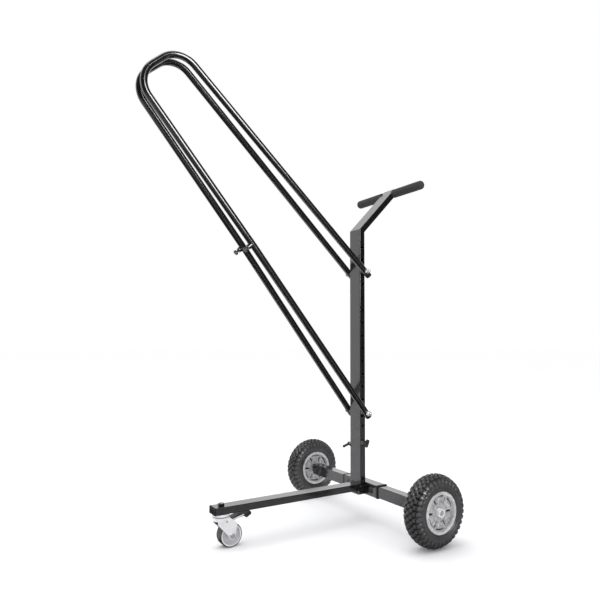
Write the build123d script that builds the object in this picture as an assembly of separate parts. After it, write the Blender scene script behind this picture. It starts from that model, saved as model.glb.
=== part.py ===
"""Three-wheeled stand cart: a mast on a T-shaped base, two slanted rails and a push handle.

Millimetres, +Z up, X along the rear axle, the front leg and the rails reach towards -Y.
Lengths across Y are first laid out from the mast's centre line, then every piece is moved by
ORIGIN_Y so that the origin is under the middle of the cart's box, on the floor.
"""
import math
import os

from build123d import *

# Rear wheels and their axle
WHEEL_D = 200.0
TYRE_W = 62.0
TRACK = 612.0
RIM_SEAT_R = 50.0
RIM_FLANGE_R = 57.0
RIM_W = 58.0
RIM_WALL = 3.0
RIM_LIP = 2.5
RIM_DISC_X = 20.0
RIM_PAD_H = 2.5
RIM_PADS = 6
RIM_PAD_RATIO = 0.72
RIM_PAD_IN = 25.0
RIM_PAD_OUT = 42.5
RIM_SLOT_W = 5.0
HUB_HALF = 20.0
HUB_WALL = 3.0
BEARING_R = 16.0
BEARING_W = 9.0
STUB_R = 7.5
STUB_INSET = 26.0
STUB_CHAMFER = 1.0
WHEEL_WASHER_R = 12.75
WHEEL_NUT_HEX = 22.5
SIDEWALL_X = 29.9
SIDEWALL_GAP = 2.4
SHOULDER_X = 26.0
SHOULDER_DROP = 9.0
CROWN_X = 14.6
CROWN_DROP = 1.2
TREAD_DEPTH = 3.0
GROOVE_X = 10.0
GROOVE_W = 4.0
NOTCHES = 30
NOTCH_X = 29.25
NOTCH_W = 6.0
NOTCH_LEN = 22.75
NOTCH_DROP = 6.0
NOTCH_H = 12.0
NOTCH_ANGLE = 50.0
NOTCH_RATIO = 0.25
AXLE_TUBE = 34.0
AXLE_WALL = 2.0
AXLE_INNER_X = 22.0
TYRE_GAP = 1.5
END_PLATE = 4.0
SLEEVE_WALL = 2.0
SLEEVE_CORNER = 2.5
SLEEVE_LEN = 164.0
SLEEVE_BOLT_INSET = 24.5
COLLAR_W = 6.0
COLLAR_PROUD = 0.8
POST_NOTCH = 3.6

# Mast, post and handle
MAST_W = 54.0
MAST_D = 20.0
MAST_WALL = 1.5
MAST_CORNER = 2.0
POST_RISE = 118.0
MAST_LEN = 705.5
HOLE_PITCH = 41.0
RAIL_BOLT_UP = 569.0
RAIL_BOLT_STEPS = 11
HOLES_ABOVE = 2
HOLES_BELOW = 12
SPIGOT_UP = 67.0
SPIGOT_DOWN = 88.0
SPIGOT_WALL = 2.0
CLAMP_UP = 24.0
NECK_ANGLE = 44.0
NECK_LEN = 210.0
NECK_CAP = 2.5
CAP_ROUND = 1.0
BAR_INSET = 12.5
BAR_R = 8.5
BAR_WALL = 1.5
GRIP_WALL = 5.75
GRIP_END_X = 164.0
GRIP_TIP = 6.0
GRIP_TIP_ROUND = 11.0
GRIP_FOOT_ROUND = 1.8

# Front leg, its socket and the caster
LEG_W = 40.0
LEG_H = 20.0
LEG_WALL = 1.5
LEG_CORNER = 2.0
LEG_RISE = 12.0
LEG_FRONT_Y = -497.0
LEG_REAR_GAP = 2.4
SOCKET_H = 34.0
SOCKET_WALL = 3.0
SOCKET_CORNER = 4.5
PACKER_CORNER = 1.2
SOCKET_PROUD = 6.0
LEG_BOLT_INSET = 11.0
CASTER_INSET = 23.5
CASTER_TRAIL = 26.0
CASTER_ROOM = 15.3
CASTER_TYRE_W = 29.0
CASTER_TREAD = 3.0
CASTER_RIM_WALL = 3.0
CASTER_TREAD_ROUND = 1.8
CASTER_WEB = 17.0
CASTER_HUB_R = 8.0
CASTER_AXLE_R = 4.0
STEM_R = 5.0
STEM_HEX = 16.0
KINGPIN_R = 9.0
KINGPIN_H = 3.2
RACE_R = 24.0
RACE_H = 3.0
RACE_LIP = 1.8
RACE_ROUND = 1.2
BALL_R = 2.4
BALLS = 14
BALL_RING_R = 17.0
CROWN_H = 3.5
FORK_T = 2.5
FORK_GAP = 34.5
SKIRT_H = 6.0
CHEEK_FRONT = 15.7
CHEEK_REAR = 17.0
CHEEK_FLARE = 24.0
CHEEK_DROP = 14.0
CHEEK_FOOT_R = 10.4
PEDAL_PIN_Y = 10.0
PEDAL_PIN_DROP = 8.3
PEDAL_PIN_R = 3.0
PEDAL_W = 26.0
PEDAL_ROUND = 1.5
PEDAL_TOE = [(-17.5, 12.8), (-11.0, 17.8), (-3.0, 14.3)]
PEDAL_SOLE = [(24.0, 11.8), (46.0, 5.3), (64.0, 2.8), (72.0, 9.0)]
PEDAL_TREAD = [(87.0, 0.8), (86.0, -6.7), (60.0, -4.7), (34.0, 1.3)]
PEDAL_ROOF = [(26.0, 2.0), (0.0, 6.3)]
PEDAL_HEAD_ROOM_R = 12.0
PEDAL_HEAD_ROOM_H = 8.5

# Rails
RAIL_R = 10.0
RAIL_WALL = 1.5
UPPER_SPACER = 4.0
LOWER_SPACER = 7.5
TOE_ANGLE = 1.575
UPPER_ANGLE = 42.4
UPPER_RUN = 850.0
END_ANGLE = 42.1
END_RUN = 160.0
LOWER_ANGLE = 50.2
LOWER_RUN = 550.0
END_BEND_R = 66.0
UPPER_TAIL = 19.0
STRUT_TAIL = 14.0
SPLICE_LEN = 60.0
SPLICE_WALL = 1.5
BOSS_AT = 12.0
BOSS_R = 7.0
BOSS_FOOT_R = 9.5
BOSS_H = 9.5
BOSS_SINK = 4.0
THUMB_R = 3.0
THUMB_HEAD_R = 7.5
THUMB_HEAD_H = 5.0
THUMB_STAND = 17.5
KNURLS = 16
KNURL_R = 0.8

# Clamp at the mast's foot
CLAMP_BOSS_H = 11.0
CLAMP_HUB_H = 11.0
CLAMP_HUB_R = 6.0
CLAMP_HUB_ROUND = 2.0
CLAMP_BOSS_FOOT_R = 9.6
CLAMP_BOSS_TIP_R = 7.2
LEVER_DROP = 14.0
LEVER_LEN = 23.0
LEVER_ANGLE = 17.0
LEVER_R = 3.8
LEVER_KNOB_R = 4.5
WING_LEN = 12.5
WING_T = 4.5
WING_ANGLE = 22.0
WING_ROOT_X = 2.0
WING_PROUD_X = 4.0
WING_ROUND = 5.0

# Fasteners and fits
BOLT_R = 4.0
HOLE_R = 4.2
HEX = 13.0
HEAD_H = 5.3
NUT_H = 6.5
WASHER_R = 8.0
WASHER_H = 1.6
SPACER_R = 9.0
CAP_DOME_R = 6.0
DOME_HEAD_R = 10.0
DOME_HEAD_H = 4.0
THREAD_END = 2.0
RUN_FIT = 0.05
SLIDE_FIT = 0.2
SEAT_GAP = 0.2
CLEAR = 0.4
PLUG_LIP = 2.5
PLUG_DEPTH = 8.0
PLUG_CORNER = 1.0
PLUG_DISH_W = 18.0
PLUG_DISH_H = 8.0
PLUG_DISH_DEPTH = 1.0
RAIL_PLUG_DEPTH = 5.0
RAIL_PLUG_ROUND = 1.5
INNER_CORNER = 0.4
OVERCUT = 1.0
WELD_SINK = 1.0

# Values that follow from the sizes above
WHEEL_Z = WHEEL_D / 2
WHEEL_X = TRACK / 2
PLATE_X = WHEEL_X - TYRE_W / 2 - TYRE_GAP
AXLE_OUTER_X = PLATE_X - END_PLATE
SLEEVE = AXLE_TUBE + 2 * SLIDE_FIT + 2 * SLEEVE_WALL
SLEEVE_BOLT_X = SLEEVE_LEN / 2 - SLEEVE_BOLT_INSET
SLEEVE_FRONT_Y = MAST_D / 2 - POST_NOTCH
AXLE_Y = SLEEVE_FRONT_Y + SLEEVE / 2
MAST_FOOT_Z = WHEEL_Z + POST_RISE
MAST_TOP_Z = MAST_FOOT_Z + MAST_LEN
RAIL_BOLT_UPPER_Z = MAST_FOOT_Z + RAIL_BOLT_UP
RAIL_BOLT_LOWER_Z = RAIL_BOLT_UPPER_Z - RAIL_BOLT_STEPS * HOLE_PITCH
RAIL_UPPER_X = MAST_W / 2 + UPPER_SPACER + RAIL_R
RAIL_LOWER_X = MAST_W / 2 + LOWER_SPACER + RAIL_R
CLAMP_Z = MAST_FOOT_Z + CLAMP_UP
LEVER_Z = CLAMP_Z - LEVER_DROP
CLAMP_STUD_X = MAST_W / 2 - MAST_WALL
BAR_AT = NECK_LEN - BAR_INSET
GRIP_R = BAR_R + GRIP_WALL
LEG_TOP_Z = WHEEL_Z + LEG_RISE
LEG_MID_Z = LEG_TOP_Z - LEG_H / 2
LEG_LOW_Z = LEG_TOP_Z - LEG_H
LEG_REAR_Y = SLEEVE_FRONT_Y - LEG_REAR_GAP
SOCKET_W = MAST_W
SOCKET_TOP_Z = LEG_TOP_Z + SOCKET_WALL
SOCKET_MID_Z = SOCKET_TOP_Z - SOCKET_H / 2
SOCKET_FRONT_Y = -MAST_D / 2 - SOCKET_PROUD
LEG_BOLT_Y = SOCKET_FRONT_Y + LEG_BOLT_INSET
BALL_Z = LEG_LOW_Z - RACE_H - SEAT_GAP - BALL_R
CROWN_TOP_Z = BALL_Z - BALL_R - SEAT_GAP
CROWN_LOW_Z = CROWN_TOP_Z - CROWN_H
CASTER_D = CROWN_LOW_Z - CASTER_ROOM
CASTER_CORE_R = CASTER_D / 2 - CASTER_TREAD
CASTER_Y = LEG_FRONT_Y + CASTER_INSET
CASTER_WHEEL_Y = CASTER_Y + CASTER_TRAIL
CASTER_WHEEL_Z = CASTER_D / 2
FORK_X = FORK_GAP / 2 + FORK_T
PEDAL_PIN_Z = CROWN_LOW_Z - PEDAL_PIN_DROP
FROM_BASE = (Align.CENTER, Align.CENTER, Align.MIN)


def turned(angle):
    """Cosine and sine of an angle in degrees."""
    return math.cos(math.radians(angle)), math.sin(math.radians(angle))


def rod(radius, start, end):
    """Solid cylinder between two points."""
    axis = Vector(end) - Vector(start)
    return Plane(origin=start, z_dir=axis) * Cylinder(radius, axis.length, align=FROM_BASE)


def ring(outer, inner, start, end):
    """Cylinder between two points with a bore."""
    return rod(outer, start, end) - rod(inner, start, end)


def x_rod(radius, x0, x1, y, z):
    """Cylinder along X."""
    return rod(radius, (x0, y, z), (x1, y, z))


def hex_rod(across, start, end):
    """Hexagonal prism between two points, given its width across flats."""
    axis = Vector(end) - Vector(start)
    outline = RegularPolygon(across / 2, 6, major_radius=False)
    return extrude(Plane(origin=start, z_dir=axis) * outline, axis.length)


def box(x0, x1, y0, y1, z0, z1):
    """Block between two corners."""
    centre = ((x0 + x1) / 2, (y0 + y1) / 2, (z0 + z1) / 2)
    return Pos(*centre) * Box(x1 - x0, y1 - y0, z1 - z0)


def rect_tube(plane, width, depth, wall, corner, length):
    """Rectangular tube with rounded edges, extruded along the plane's normal."""
    outer = RectangleRounded(width, depth, corner)
    inner = RectangleRounded(width - 2 * wall, depth - 2 * wall, max(corner - wall, INNER_CORNER))
    return extrude(plane * (outer - inner), length)


def both_sides(shape):
    """The shape and its mirror image across the cart's middle plane."""
    return [shape, mirror(shape, about=Plane.YZ)]


def mitre_plane():
    """Plane that halves the angle between mast and neck."""
    cos_half, sin_half = turned(NECK_ANGLE / 2)
    return Plane(origin=(0, 0, MAST_TOP_Z), x_dir=(1, 0, 0), z_dir=(0, sin_half, cos_half))


def neck_plane(along):
    """Cross-section plane of the neck at a distance from the mitre."""
    cos_neck, sin_neck = turned(NECK_ANGLE)
    origin = (0, along * sin_neck, MAST_TOP_Z + along * cos_neck)
    return Plane(origin=origin, x_dir=(1, 0, 0), z_dir=(0, sin_neck, cos_neck))


def hole_heights():
    """Heights of the row of holes in the mast."""
    return [RAIL_BOLT_UPPER_Z + step * HOLE_PITCH for step in range(-HOLES_BELOW, HOLES_ABOVE + 1)]


def mast_section(z0, z1):
    """Mast tube between two heights."""
    return rect_tube(Plane.XY.offset(z0), MAST_W, MAST_D, MAST_WALL, MAST_CORNER, z1 - z0)


def mast_tube():
    """Mast with its row of adjusting holes, cut to the mitre at the top."""
    tube = split(mast_section(MAST_FOOT_Z, MAST_TOP_Z + MAST_D), bisect_by=mitre_plane(), keep=Keep.BOTTOM)
    holes = [x_rod(HOLE_R, -MAST_W, MAST_W, 0, z) for z in hole_heights()]
    wing_hole = x_rod(BOLT_R + RUN_FIT, 0, MAST_W, 0, CLAMP_Z)
    lever_hole = x_rod(BOLT_R + RUN_FIT, -MAST_W, 0, 0, LEVER_Z)
    return tube - holes - wing_hole - lever_hole


def base_post():
    """Short post on the socket, notched round the sleeve, that the mast stands on."""
    post = mast_section(SOCKET_TOP_Z, MAST_FOOT_Z)
    sleeve_top = WHEEL_Z + SLEEVE / 2
    return post - box(-MAST_W, MAST_W, SLEEVE_FRONT_Y, AXLE_Y, SOCKET_TOP_Z - OVERCUT, sleeve_top)


def post_spigot():
    """Inner tube that joins post and mast."""
    width = MAST_W - 2 * MAST_WALL - 2 * SLIDE_FIT
    depth = MAST_D - 2 * MAST_WALL - 2 * SLIDE_FIT
    foot = Plane.XY.offset(MAST_FOOT_Z - SPIGOT_DOWN)
    return rect_tube(foot, width, depth, SPIGOT_WALL, MAST_CORNER - MAST_WALL, SPIGOT_UP + SPIGOT_DOWN)


def handle_neck():
    """Mitred neck that leans back from the mast, with side holes for the bar."""
    tube = rect_tube(neck_plane(-MAST_D), MAST_W, MAST_D, MAST_WALL, MAST_CORNER, NECK_LEN + MAST_D)
    tube = split(tube, bisect_by=mitre_plane(), keep=Keep.TOP)
    centre = neck_plane(BAR_AT).origin
    return tube - x_rod(BAR_R, -MAST_W, MAST_W, centre.Y, centre.Z)


def neck_end_cap():
    """Plastic cap that closes the neck."""
    lip = extrude(neck_plane(NECK_LEN) * RectangleRounded(MAST_W, MAST_D, MAST_CORNER), NECK_CAP)
    inset = NECK_LEN - BAR_AT - BAR_R - CLEAR
    width = MAST_W - 2 * MAST_WALL - 2 * SLIDE_FIT
    depth = MAST_D - 2 * MAST_WALL - 2 * SLIDE_FIT
    plug = extrude(neck_plane(NECK_LEN) * RectangleRounded(width, depth, MAST_CORNER - MAST_WALL), -inset)
    lip = fillet(lip.edges().group_by(Axis(neck_plane(0).origin, neck_plane(0).z_dir))[-1], CAP_ROUND)
    return lip + plug


def handle_bar():
    """Round bar through the neck."""
    centre = neck_plane(BAR_AT).origin
    end = GRIP_END_X - GRIP_TIP
    return ring(BAR_R, BAR_R - BAR_WALL, (-end, centre.Y, centre.Z), (end, centre.Y, centre.Z))


def grip():
    """Foam grip on the right end of the bar, with a rounded closed tip."""
    centre = neck_plane(BAR_AT).origin
    body = x_rod(GRIP_R, MAST_W / 2 + CLEAR, GRIP_END_X, centre.Y, centre.Z)
    body = fillet(body.edges().sort_by(Axis.X)[-1], GRIP_TIP_ROUND)
    body = fillet(body.edges().sort_by(Axis.X)[0], GRIP_FOOT_ROUND)
    return body - x_rod(BAR_R, 0, GRIP_END_X - GRIP_TIP, centre.Y, centre.Z)


def sleeve_bolt_hole(x):
    """Cutter for the bolt that holds an axle tube in the sleeve."""
    return rod(HOLE_R, (x, AXLE_Y - SLEEVE, WHEEL_Z), (x, AXLE_Y + SLEEVE, WHEEL_Z))


def cross_sleeve():
    """Square sleeve across the base."""
    start = Plane(origin=(-SLEEVE_LEN / 2, AXLE_Y, WHEEL_Z), x_dir=(0, 1, 0), z_dir=(1, 0, 0))
    tube = rect_tube(start, SLEEVE, SLEEVE, SLEEVE_WALL, SLEEVE_CORNER, SLEEVE_LEN)
    return tube - [sleeve_bolt_hole(side * SLEEVE_BOLT_X) for side in (-1, 1)]


def sleeve_collar():
    """Plastic guide collar on the sleeve's right end."""
    start = Plane(origin=(SLEEVE_LEN / 2, AXLE_Y, WHEEL_Z), x_dir=(0, 1, 0), z_dir=(1, 0, 0))
    outer = RectangleRounded(SLEEVE + 2 * COLLAR_PROUD, SLEEVE + 2 * COLLAR_PROUD, SLEEVE_WALL)
    way = RectangleRounded(AXLE_TUBE + 2 * SLIDE_FIT, AXLE_TUBE + 2 * SLIDE_FIT, AXLE_WALL)
    return extrude(start * (outer - way), COLLAR_W)


def axle_tube():
    """Right axle tube, plugged into the sleeve."""
    start = Plane(origin=(AXLE_INNER_X, AXLE_Y, WHEEL_Z), x_dir=(0, 1, 0), z_dir=(1, 0, 0))
    tube = rect_tube(start, AXLE_TUBE, AXLE_TUBE, AXLE_WALL, AXLE_WALL, AXLE_OUTER_X - AXLE_INNER_X)
    return tube - sleeve_bolt_hole(SLEEVE_BOLT_X)


def axle_end_plate():
    """Plate welded on the outer end of the right axle tube."""
    start = Plane(origin=(AXLE_OUTER_X, AXLE_Y, WHEEL_Z), x_dir=(0, 1, 0), z_dir=(1, 0, 0))
    plate = extrude(start * RectangleRounded(AXLE_TUBE, AXLE_TUBE, AXLE_WALL), END_PLATE)
    return plate - x_rod(STUB_R, 0, WHEEL_X, AXLE_Y, WHEEL_Z)


def stub_end_x():
    """Outer end of the stub axle, flush with the nut."""
    return WHEEL_X + HUB_HALF + SEAT_GAP + WASHER_H + SEAT_GAP + NUT_H


def stub_axle():
    """Right stub axle, fixed in the end plate."""
    pin = x_rod(STUB_R, AXLE_OUTER_X - STUB_INSET, stub_end_x(), AXLE_Y, WHEEL_Z)
    return chamfer(pin.edges().sort_by(Axis.X)[-1], STUB_CHAMFER)


def wheel_spacer():
    """Spacer between the end plate and the inner bearing."""
    start = (PLATE_X, AXLE_Y, WHEEL_Z)
    end = (WHEEL_X - HUB_HALF - SEAT_GAP, AXLE_Y, WHEEL_Z)
    return ring(STUB_R + HUB_WALL, STUB_R, start, end)


def wheel_nut():
    """Washer and nut that keep the right wheel on."""
    washer_x = WHEEL_X + HUB_HALF + SEAT_GAP
    nut_x = washer_x + WASHER_H + SEAT_GAP
    washer_end = (washer_x + WASHER_H, AXLE_Y, WHEEL_Z)
    washer = ring(WHEEL_WASHER_R, STUB_R, (washer_x, AXLE_Y, WHEEL_Z), washer_end)
    nut = hex_rod(WHEEL_NUT_HEX, (nut_x, AXLE_Y, WHEEL_Z), (nut_x + NUT_H, AXLE_Y, WHEEL_Z))
    return washer, nut - x_rod(STUB_R, 0, nut_x + NUT_H * 2, AXLE_Y, WHEEL_Z)


def wheel_plane():
    """Section plane of the right wheel: its x runs along the axle, its y along a radius."""
    return Plane(origin=(WHEEL_X, AXLE_Y, WHEEL_Z), x_dir=(1, 0, 0), z_dir=(0, -1, 0))


def wheel_axis():
    """Axis of the rear wheels."""
    return Axis((0, AXLE_Y, WHEEL_Z), (1, 0, 0))


def spin(points):
    """Solid of revolution about the wheel axis from (along, radius) points."""
    face = make_face(Polyline(*points, close=True))
    return revolve(wheel_plane() * face, wheel_axis())


def ring_points(x0, x1, r0, r1):
    """Corners of a rectangle in the wheel's section plane."""
    return [(x0, r0), (x1, r0), (x1, r1), (x0, r1)]


def tyre():
    """Solid foam tyre: bulged sides, a crown with two grooves and notched shoulders."""
    half = TYRE_W / 2
    bead = RIM_W / 2 - RIM_LIP - CLEAR
    outer = WHEEL_D / 2
    bulge_r = (RIM_FLANGE_R + outer) / 2
    right = [(bead, RIM_SEAT_R), (bead, RIM_FLANGE_R + CLEAR), (SIDEWALL_X, RIM_FLANGE_R + SIDEWALL_GAP)]
    right += [(half, bulge_r), (SHOULDER_X, outer - SHOULDER_DROP), (CROWN_X, outer - CROWN_DROP)]
    left = [(-x, r) for x, r in reversed(right)]
    body = spin(right + [(0, outer)] + left)
    grooves = []
    for side in (-GROOVE_X, GROOVE_X):
        low = side - GROOVE_W / 2
        grooves.append(spin(ring_points(low, low + GROOVE_W, outer - TREAD_DEPTH, outer + OVERCUT)))
    notch = box(-NOTCH_LEN / 2, NOTCH_LEN / 2, -NOTCH_W / 2, NOTCH_W / 2, 0, NOTCH_H)
    notches = []
    for side in (-1, 1):
        seat = Pos(side * NOTCH_X, 0, outer - NOTCH_DROP) * Rot(0, side * NOTCH_ANGLE, 0) * notch
        for index in range(NOTCHES):
            turn = Rot(360 / NOTCHES * (index + side * NOTCH_RATIO), 0, 0)
            notches.append(Pos(WHEEL_X, AXLE_Y, WHEEL_Z) * turn * seat)
    return body - grooves - notches


def rim():
    """Rim of two joined halves: barrel, lips, slotted discs with raised pads, and a hub."""
    half = RIM_W / 2
    parts = [spin(ring_points(-half, half, RIM_SEAT_R - RIM_WALL, RIM_SEAT_R))]
    parts.append(spin(ring_points(-HUB_HALF, HUB_HALF, BEARING_R, BEARING_R + HUB_WALL)))
    hub_r = BEARING_R + HUB_WALL
    pad_span = 360 / RIM_PADS * RIM_PAD_RATIO
    slots = []
    for side in (-1, 1):
        lip = sorted([side * (half - RIM_LIP), side * half])
        parts.append(spin(ring_points(lip[0], lip[1], RIM_SEAT_R - RIM_WALL, RIM_FLANGE_R)))
        disc = sorted([side * (RIM_DISC_X - RIM_WALL), side * RIM_DISC_X])
        parts.append(spin(ring_points(disc[0], disc[1], hub_r - WELD_SINK, RIM_SEAT_R - WELD_SINK)))
        pad_points = ring_points(0, WELD_SINK + RIM_PAD_H, RIM_PAD_IN, RIM_PAD_OUT)
        foot = (WHEEL_X + side * (RIM_DISC_X - WELD_SINK), AXLE_Y, WHEEL_Z)
        start = Plane(origin=foot, x_dir=(side, 0, 0), z_dir=(0, -side, 0))
        pad = revolve(start * make_face(Polyline(*pad_points, close=True)), wheel_axis(), pad_span)
        slot = box(-RIM_WALL * 2, RIM_WALL * 2, -RIM_SLOT_W / 2, RIM_SLOT_W / 2, RIM_PAD_IN, RIM_PAD_OUT)
        for index in range(RIM_PADS):
            turn = 360 / RIM_PADS * index
            parts.append(pad.rotate(wheel_axis(), turn))
            angle = turn - side * (360 / RIM_PADS - pad_span) / 2
            slots.append(Pos(WHEEL_X + side * RIM_DISC_X, AXLE_Y, WHEEL_Z) * Rot(angle, 0, 0) * slot)
    return parts[0] + parts[1:] - slots


def wheel_bearings():
    """Two bearings pressed into the right wheel's hub."""
    rings = []
    for side in (-1, 1):
        ends = sorted([side * (HUB_HALF - BEARING_W), side * HUB_HALF])
        start = (WHEEL_X + ends[0], AXLE_Y, WHEEL_Z)
        end = (WHEEL_X + ends[1], AXLE_Y, WHEEL_Z)
        rings.append(ring(BEARING_R, STUB_R + RUN_FIT, start, end))
    return rings


def dome_head(x, y, z):
    """Low dome of a round-headed bolt, whose flat side faces the rear."""
    dome_r = (DOME_HEAD_R ** 2 + DOME_HEAD_H ** 2) / (2 * DOME_HEAD_H)
    ball = Pos(x, y - DOME_HEAD_H + dome_r, z) * Sphere(dome_r)
    return split(ball, bisect_by=Plane(origin=(x, y, z), z_dir=(0, 1, 0)), keep=Keep.BOTTOM)


def sleeve_bolts():
    """Round-headed bolts through sleeve and axle tubes, and their washers and nuts at the back."""
    front = SLEEVE_FRONT_Y
    back = AXLE_Y + SLEEVE / 2
    nut_y = back + WASHER_H
    end = nut_y + NUT_H + THREAD_END
    bolts = []
    nuts = []
    for x in (-SLEEVE_BOLT_X, SLEEVE_BOLT_X):
        shank = rod(BOLT_R, (x, front - WELD_SINK, WHEEL_Z), (x, end, WHEEL_Z))
        nut = hex_rod(HEX, (x, nut_y, WHEEL_Z), (x, nut_y + NUT_H, WHEEL_Z))
        bolts.append(dome_head(x, front, WHEEL_Z) + shank)
        nuts.append(ring(WASHER_R, BOLT_R, (x, back, WHEEL_Z), (x, nut_y, WHEEL_Z)))
        nuts.append(nut - shank)
    return bolts, nuts


def leg_plane(y):
    """Section plane of the front leg, facing the rear."""
    return Plane(origin=(0, y, LEG_MID_Z), x_dir=(-1, 0, 0), z_dir=(0, 1, 0))


def front_leg():
    """Flat tube of the front leg, drilled for the caster stem and the cross bolt."""
    tube = rect_tube(leg_plane(LEG_FRONT_Y), LEG_W, LEG_H, LEG_WALL, LEG_CORNER, LEG_REAR_Y - LEG_FRONT_Y)
    stem = rod(STEM_R, at_caster(LEG_LOW_Z - OVERCUT), at_caster(LEG_TOP_Z + OVERCUT))
    return tube - stem - x_rod(HOLE_R, -LEG_W, LEG_W, LEG_BOLT_Y, LEG_MID_Z)


def leg_end_plug():
    """Plastic plug in the leg's front end, with a shallow dish in its face."""
    lip = extrude(leg_plane(LEG_FRONT_Y) * RectangleRounded(LEG_W, LEG_H, LEG_CORNER), -PLUG_LIP)
    width = LEG_W - 2 * LEG_WALL - 2 * SLIDE_FIT
    height = LEG_H - 2 * LEG_WALL - 2 * SLIDE_FIT
    insert = extrude(leg_plane(LEG_FRONT_Y) * RectangleRounded(width, height, PLUG_CORNER), PLUG_DEPTH)
    outline = RectangleRounded(PLUG_DISH_W, PLUG_DISH_H, LEG_CORNER)
    dish = extrude(leg_plane(LEG_FRONT_Y - PLUG_LIP) * outline, PLUG_DISH_DEPTH)
    return lip + insert - dish


def leg_socket():
    """Short tube in front of the sleeve that takes the leg's rear end."""
    start = Plane(origin=(0, SOCKET_FRONT_Y, SOCKET_MID_Z), x_dir=(-1, 0, 0), z_dir=(0, 1, 0))
    length = SLEEVE_FRONT_Y - SOCKET_FRONT_Y
    tube = rect_tube(start, SOCKET_W, SOCKET_H, SOCKET_WALL, SOCKET_CORNER, length)
    return tube - x_rod(HOLE_R, -SOCKET_W, SOCKET_W, LEG_BOLT_Y, LEG_MID_Z)


def leg_packer():
    """Plastic packer that fills the socket round the leg."""
    width = SOCKET_W - 2 * SOCKET_WALL - 2 * SLIDE_FIT
    height = SOCKET_H - 2 * SOCKET_WALL - 2 * SLIDE_FIT
    start = Plane(origin=(0, SOCKET_FRONT_Y, SOCKET_MID_Z), x_dir=(-1, 0, 0), z_dir=(0, 1, 0))
    block = extrude(start * RectangleRounded(width, height, PACKER_CORNER), LEG_REAR_Y - SOCKET_FRONT_Y)
    half = LEG_W / 2 + SLIDE_FIT
    front = SOCKET_FRONT_Y - OVERCUT
    way = box(-half, half, front, LEG_REAR_Y + OVERCUT, LEG_LOW_Z - SLIDE_FIT, SOCKET_TOP_Z)
    return block - way - x_rod(HOLE_R, -SOCKET_W, SOCKET_W, LEG_BOLT_Y, LEG_MID_Z)


def leg_bolt():
    """Cross bolt of the leg with its nut."""
    side = SOCKET_W / 2
    bolt = x_rod(BOLT_R, -side - NUT_H - THREAD_END, side + WELD_SINK, LEG_BOLT_Y, LEG_MID_Z)
    bolt = bolt + hex_rod(HEX, (side, LEG_BOLT_Y, LEG_MID_Z), (side + HEAD_H, LEG_BOLT_Y, LEG_MID_Z))
    nut = hex_rod(HEX, (-side - NUT_H, LEG_BOLT_Y, LEG_MID_Z), (-side, LEG_BOLT_Y, LEG_MID_Z))
    return bolt, nut - x_rod(BOLT_R, -SOCKET_W, SOCKET_W, LEG_BOLT_Y, LEG_MID_Z)


def at_caster(z):
    """Point on the caster's swivel axis."""
    return (0, CASTER_Y, z)


def caster_stem():
    """Threaded stem through the leg, with the kingpin head under the crown."""
    head_top = CROWN_LOW_Z - SEAT_GAP
    stem = rod(STEM_R, at_caster(head_top - WELD_SINK), at_caster(LEG_TOP_Z + NUT_H + THREAD_END))
    head = rod(KINGPIN_R, at_caster(head_top - KINGPIN_H), at_caster(head_top))
    return stem + head


def stem_nut():
    """Nut on top of the leg."""
    nut = hex_rod(STEM_HEX, at_caster(LEG_TOP_Z), at_caster(LEG_TOP_Z + NUT_H))
    return nut - rod(STEM_R, at_caster(LEG_TOP_Z - OVERCUT), at_caster(LEG_TOP_Z + NUT_H + OVERCUT))


def caster_race():
    """Fixed upper race under the leg, with a lip that shrouds the balls."""
    plate = rod(RACE_R, at_caster(LEG_LOW_Z - RACE_H), at_caster(LEG_LOW_Z))
    lip = ring(RACE_R, RACE_R - RACE_LIP, at_caster(BALL_Z), at_caster(LEG_LOW_Z - RACE_H + WELD_SINK))
    plate = fillet(plate.edges().sort_by(Axis.Z)[-1], RACE_ROUND)
    return plate + lip - rod(STEM_R, at_caster(0), at_caster(LEG_TOP_Z))


def caster_balls():
    """Ring of bearing balls between race and crown."""
    balls = []
    for index in range(BALLS):
        cos_a, sin_a = turned(360 / BALLS * index)
        centre = (BALL_RING_R * cos_a, CASTER_Y + BALL_RING_R * sin_a, BALL_Z)
        balls.append(Pos(*centre) * Sphere(BALL_R))
    return balls


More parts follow.
